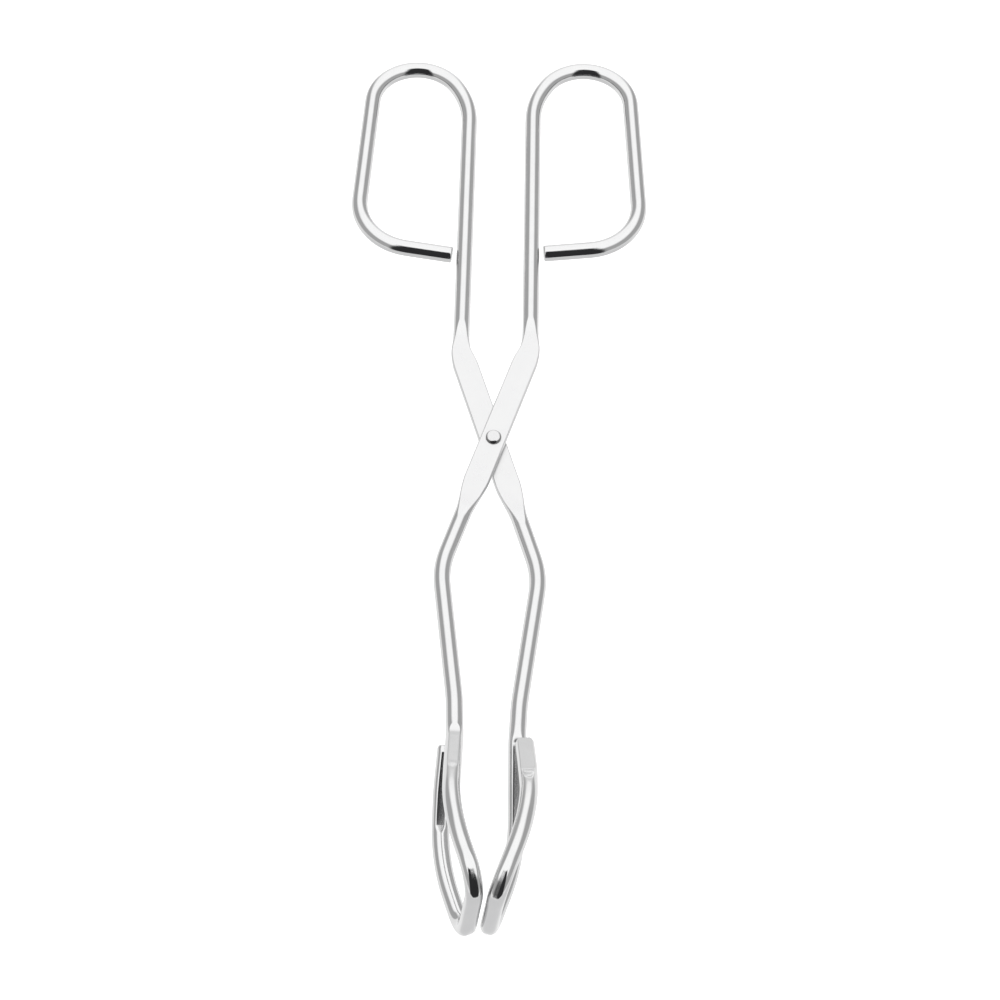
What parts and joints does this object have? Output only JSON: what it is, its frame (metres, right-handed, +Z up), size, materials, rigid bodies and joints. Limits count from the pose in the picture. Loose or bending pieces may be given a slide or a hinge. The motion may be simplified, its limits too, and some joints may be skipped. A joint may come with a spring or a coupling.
{
  "type": "scissor tongs",
  "caption": "Scissor-action tongs of bent polished steel wire: open finger loops, flattened riveted crossing, and closed wire-loop jaws with rounded square tips",
  "frame": {"origin": "centre of the pivot, on the rivet's axis, midway between the two pressed flats", "axes": "X across the tongs in the direction they open; Y along the tongs, +Y to the finger loops and -Y to the jaws; Z up along the pivot axis, the tongs lying flat"},
  "size_m": [0.0916, 0.3031, 0.0354],
  "materials": {
    "polished_wire": "bright drawn and tumbled stainless wire, mirror-like with fine drawing lines; pressed flats slightly hazier",
    "rivet_steel": "low peened rivet head, fine grained"
  },
  "bodies": {
    "rear_half": {"rear_arm": "polished_wire", "pivot_rivet": "rivet_steel"},
    "front_half": {"front_arm": "polished_wire"}
  },
  "joints": [
    {"name": "pivot_hinge", "type": "hinge", "parent": "rear_half", "child": "front_half", "pos_m": [0, 0, 0], "axis": [0, 0, -1], "range_deg": [-0.3, 128]}
  ]
}
